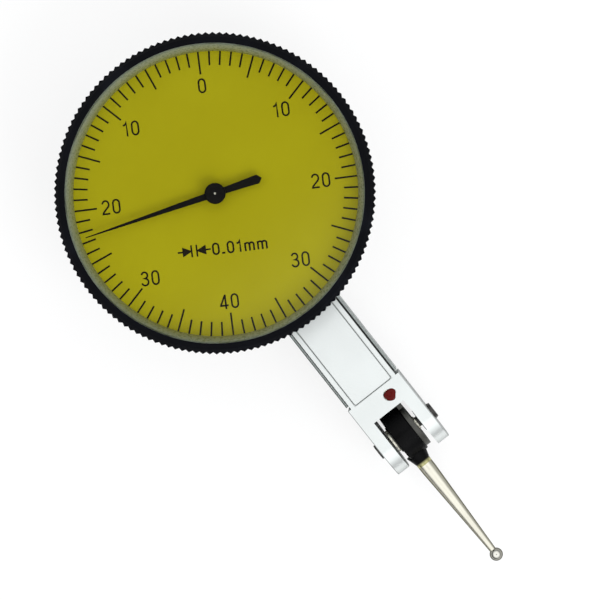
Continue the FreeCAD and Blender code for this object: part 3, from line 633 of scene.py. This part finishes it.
# %% Signs
def sign_lines(sign):
    """Pen lines of a sign on a box 1 high, with its width."""
    if sign == "0":
        top = arc(0.25, 0.70, 0.19, 0.245, 0, 180)
        low = arc(0.25, 0.30, 0.19, 0.245, 180, 360)
        return [np.vstack([top, low, top[:1]])], 0.50
    if sign == "1":
        flag = [(0.06, 0.745), (0.16, 0.77), (0.235, 0.83), (0.275, 0.945)]
        return [line(*flag, (0.275, 0.0))], 0.42
    if sign == "2":
        bowl = arc(0.27, 0.695, 0.195, 0.245, 170, -25)
        sweep = line((0.40, 0.50), (0.22, 0.30), (0.10, 0.16), (0.075, 0.06), (0.49, 0.06))
        return [np.vstack([bowl, sweep])], 0.55
    if sign == "3":
        top = arc(0.255, 0.73, 0.18, 0.212, 165, -80)
        low = arc(0.255, 0.285, 0.205, 0.235, 80, -165)
        return [np.vstack([top, line((0.22, 0.52)), low])], 0.54
    if sign == "4":
        slope = [(0.345, 0.93), (0.06, 0.285), (0.06, 0.25)]
        return [line((0.36, 0.0), (0.36, 0.93), *slope, (0.52, 0.25))], 0.56
    if sign == ".":
        return [line((0.01, 0.09), (0.22, 0.09))], 0.23
    if sign == "m":
        serif = line((0.06, 0.70), (0.06, 0.5))
        arches = [arc(middle, 0.52, 0.145, 0.15, 180, 0) for middle in (0.205, 0.495)]
        first = np.vstack([line((0.06, 0.0), (0.06, 0.52)), arches[0], line((0.35, 0.0))])
        second = np.vstack([arches[1], line((0.64, 0.0))])
        return [serif, first, second], 0.73
    raise ValueError(sign)


def written(text, height, pen, stretch, gap):
    """Corners and faces of a word, centred on the origin, and its width."""
    shapes, x = [], 0.0
    for sign in text:
        lines, width = sign_lines(sign)
        for points in lines:
            points = np.column_stack([points[:, 0] * stretch, points[:, 1]]) * height
            points[:, 0] += x
            shapes.append(stroke(points, pen))
        x += (width + gap) * stretch * height
    corners, faces = joined(shapes)
    low, high = corners.min(0), corners.max(0)
    return corners - (low + high) / 2, faces, high[0] - low[0]


# %% [markdown]
# ### The eight numbers round the dial
# They stand upright to the dial's zero, inside the divisions. At the sides a number's width runs
# outwards, so those stand a little further in, clear of the divisions.

# %% The eight numbers
figure_radius, figure_height, figure_pen = 13.55 * MM, 1.86 * MM, 0.215 * MM
side_inset = 0.35 * MM
shapes = []
for step, value in enumerate((0, 10, 20, 30, 40, 30, 20, 10)):
    corners, faces, width = written(
        str(value), figure_height, figure_pen, stretch=1.12, gap=0.11
    )
    turn = 2 * math.pi * step / 8
    out = figure_radius - side_inset * math.sin(turn) ** 2
    shapes.append((corners + np.array([math.sin(turn), math.cos(turn)]) * out, faces))
    print(value, "is", round(width / MM, 2), "mm wide")
corners, faces = joined(shapes)
new_piece("scale_numbers", on_dial(corners), faces, ink, "bezel")

# %% [markdown]
# ## What one division means
# Under the hub stands the usual sign for the width of a division, two arrows that point at two
# bars, and its value, 0.01 mm.

# %% The legend
legend_y = -6.77 * MM
legend_left, symbol_width, symbol_gap = -5.55 * MM, 4.0 * MM, 0.25 * MM
legend_height, legend_pen = 1.50 * MM, 0.22 * MM
bar_inset = 1.57 * MM  # of each bar, from the symbol's ends
bar_height, head_length, head_half = 1.50 * MM, 1.05 * MM, 0.62 * MM
shaft_length, thin = 0.60 * MM, 0.20 * MM


def arrow(side, x):
    """A filled arrow that points along side (+1 right, -1 left), its shaft, and the bar at x
    that it points at. The tip reaches through the bar."""
    beyond = x + side * thin
    foot = x - side * head_length
    end = x - side * (head_length + shaft_length)
    head = [(beyond, 0), (foot, head_half), (foot, -head_half)]
    shaft = [(foot, thin / 2), (end, thin / 2), (end, -thin / 2), (foot, -thin / 2)]
    top, bottom = bar_height / 2, -bar_height / 2
    bar = [(x, top), (beyond, top), (beyond, bottom), (x, bottom)]
    return [head, shaft, bar]


def facing_up(outline):
    """The outline's face, counted anticlockwise so that it is seen from the front."""
    following = outline[1:] + outline[:1]
    area = sum(a[0] * b[1] - b[0] * a[1] for a, b in zip(outline, following))
    return list(range(len(outline)))[:: 1 if area > 0 else -1]


outlines = arrow(1, legend_left + bar_inset) + arrow(-1, legend_left + symbol_width - bar_inset)
shapes = [(np.array(outline) + (0, legend_y), [facing_up(outline)]) for outline in outlines]
corners, faces = joined(shapes)
new_piece("division_symbol", on_dial(corners), faces, ink, "bezel")

corners, faces, width = written("0.01mm", legend_height, legend_pen, stretch=1.24, gap=0.13)
corners = corners + np.array([legend_left + symbol_width + symbol_gap + width / 2, legend_y])
new_piece("division_value", on_dial(corners), faces, ink, "bezel")
print("legend text", round(width / MM, 2), "mm wide")

# %% [markdown]
# ## The needle
# It is punched from thin sheet, so it is flat with broken edges: a long taper to the tip, and a
# tail that widens to a gable. Half of its outline is a function of the distance along it, the
# other half is its mirror, and three copies of the outline make the foot, the wall and the face.

# %% The needle
needle_low, needle_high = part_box("pointer_needle")
tip_turn = math.radians(70.6)  # of the tip from +Y, anticlockwise
broken_edge, thinnest = 0.04 * MM, 0.01 * MM
along = np.array([17.10, 11.0, 5.0, 0.0, -1.0, -3.5, -5.62, -6.10]) * MM
half_width = np.array([0.055, 0.190, 0.330, 0.430, 0.405, 0.485, 0.575, 0.02]) * MM
outline_u = np.concatenate([along, along[::-1]])
outline_v = np.concatenate([half_width, -half_width[::-1]])


def layer(height, inset):
    """The outline at one height, drawn in from its edge towards its own middle line."""
    v = np.sign(outline_v) * np.maximum(np.abs(outline_v) - inset, thinnest)
    u = outline_u - np.sign(outline_u) * inset
    s, c = math.sin(tip_turn), math.cos(tip_turn)
    return np.column_stack([-s * u - c * v, c * u - s * v, np.full(len(u), height)])


def wall(low_ring, n):
    """Faces between one ring of n corners and the next ring above it."""
    k = np.arange(n)
    k_next = (k + 1) % n
    low, high = low_ring * n, (low_ring + 1) * n
    return np.column_stack([low + k, low + k_next, high + k_next, high + k])


corners = np.vstack([
    layer(needle_low.z, 0.0),
    layer(needle_high.z - broken_edge, 0.0),
    layer(needle_high.z, broken_edge),
])
n = len(outline_u)
faces = [*wall(0, n), *wall(1, n), range(n - 1, -1, -1), range(2 * n, 3 * n)]
needle = new_piece("needle_blade", corners, faces, needle_paint, "pointer")
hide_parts("pointer_needle")
print("needle", round((along[0] - along[-1]) / MM, 2), "mm long")

# %% [markdown]
# ## The lacquer drop
# A drop of red lacquer seals the stop screw. It fell from a brush, so its edge is lopsided and
# its top sags: the radius is a circle with three slow waves on it, and the height falls from the
# middle to the edge like a flattened dome.

# %% The lacquer drop
seal_low, seal_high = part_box("lacquer_seal")
seal_x = (seal_low.x + seal_high.x) / 2 + 0.14 * MM
seal_y = (seal_low.y + seal_high.y) / 2 - 0.06 * MM
seal_radius = 0.79 * MM
seal_rise = seal_high.z - body_high.z
edge_sink = 0.01 * MM


def drop(rings, spokes):
    """Radius: mean radius times one plus waves round the edge, times the share from the middle.
    Height: rise times (1 - share squared) to the power 0.55, less a shallow dimple."""
    share = np.linspace(0.06, 1.0, rings)[:, None]
    turn = np.linspace(0, 2 * np.pi, spokes, endpoint=False)[None, :]
    waves = 0.085 * np.cos(3 * turn - 1.3) + 0.05 * np.cos(2 * turn - 0.4)
    edge = 1 + waves + 0.03 * np.cos(5 * turn)
    across, ahead = share * np.cos(turn), share * np.sin(turn)
    dimple = 0.25 * np.exp(-((across + 0.1) ** 2 + (ahead - 0.2) ** 2) / 0.08)
    z = body_high.z + seal_rise * ((1 - share ** 2) ** 0.55 - dimple) * 0.98
    z[-1] = body_high.z - edge_sink
    x = seal_x + seal_radius * across * edge
    y = seal_y + seal_radius * ahead * edge
    return np.stack([x, y, z], axis=2).reshape(-1, 3)


rings, spokes = 14, 40
i, j = np.meshgrid(np.arange(rings - 1), np.arange(spokes), indexing="ij")
first, second = i * spokes, (i + 1) * spokes
j_next = (j + 1) % spokes
quads = np.stack([first + j, second + j, second + j_next, first + j_next], axis=2).reshape(-1, 4)
under = range(rings * spokes - 1, (rings - 1) * spokes - 1, -1)
faces = [*quads, range(spokes), under]
corners = drop(rings, spokes)
lacquer_drop = new_piece("lacquer_drop", corners, faces, seal_red, "root")
lacquer_drop.data.polygons.foreach_set("use_smooth", [True] * len(faces))
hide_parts("lacquer_seal")
print("lacquer drop", round(seal_rise / MM, 2), "mm high")

# %% [markdown]
# ## Floor and light
# The gauge lies on its back on a white sheet. The sheet glows a little to the camera alone, so
# that it looks evenly lit and still takes soft shadows.

# %% Floor
floor_half, paper_white, evenness, glow_strength = 1.2, 0.80, 0.72, 1.08
floor_mesh = bpy.data.meshes.new("floor")
square = [(-1, -1), (1, -1), (1, 1), (-1, 1)]
floor_corners = [(x * floor_half, y * floor_half, 0.0) for x, y in square]
floor_mesh.from_pydata(floor_corners, [], [(0, 1, 2, 3)])
floor = bpy.data.objects.new("floor", floor_mesh)
bpy.context.scene.collection.objects.link(floor)

floor_white, bench = new_bench("floor_white")
sheet = bench.node("ShaderNodeBsdfDiffuse", None, {"Color": shaded((1, 1, 1), paper_white)})
bright = {"Color": rgba((1, 1, 1)), "Strength": glow_strength}
glow = bench.node("ShaderNodeEmission", None, bright)
watched = bench.node("ShaderNodeLightPath", output="Is Camera Ray")
bench.show(bench.node("ShaderNodeMixShader", None, {0: watched * evenness, 1: sheet, 2: glow}))
floor_mesh.materials.append(floor_white)
print("floor", 2 * floor_half, "m wide")

# %% [markdown]
# ### The room
# A pale room lights the rest. It is brighter high up than at the horizon, dark in a patch
# straight overhead, so that the window and the black bezel stay deep, and dim low on the left.
# A direction's Z is the sine of its height, so the steps below are in sines.

# %% Room
world = bpy.data.worlds.new("room")
world.use_nodes = True
bpy.context.scene.world = world
bench = Bench(world.node_tree)
direction = bench.node("ShaderNodeTexCoord", output="Generated")
rightward, rearward, height = (bench.parts(direction, axis) for axis in range(3))
overhead = height.smooth(0.974, 0.988) * rearward.smooth(-0.07, 0.045)
low_left = (1.0 - height.smooth(0.1, 0.7)) * (0.0 - rightward).smooth(0.1, 0.8)
rising = 0.45 + 0.85 * height.smooth(0.2, 0.75)
level = (1.0 - overhead * 0.96) * (1.0 - low_left * 0.85) * rising
watched = bench.node("ShaderNodeLightPath", output="Is Camera Ray")
light = {"Color": (0.98, 0.99, 1.0, 1), "Strength": level * 0.92 * (1.0 - watched) + watched}
bench.show(bench.node("ShaderNodeBackground", None, light), "ShaderNodeOutputWorld")
print(len(world.node_tree.nodes), "nodes make the room")

# %% [markdown]
# ### The lamp
# One broad soft lamp stands beyond the stylus, where it throws the needle's soft shadow across
# the dial. It is kept out of reflections, which would burn out the bright metal.

# %% Lamp
def lamp(name, place, target, size, power):
    """A square soft lamp that faces its target."""
    data = bpy.data.lights.new(name, "AREA")
    data.shape = "SQUARE"
    data.size = size
    data.energy = power
    made = bpy.data.objects.new(name, data)
    made.location = place
    made.rotation_euler = (Vector(target) - Vector(place)).to_track_quat("-Z", "Y").to_euler()
    bpy.context.scene.collection.objects.link(made)
    return made


key = lamp("key", place=(0.03, -0.30, 0.29), target=(0, 0, 0.01), size=0.20, power=0.62)
key.visible_glossy = False
bpy.context.scene.view_settings.view_transform = "Standard"
print("lamp", round(key.location.length, 2), "m away")
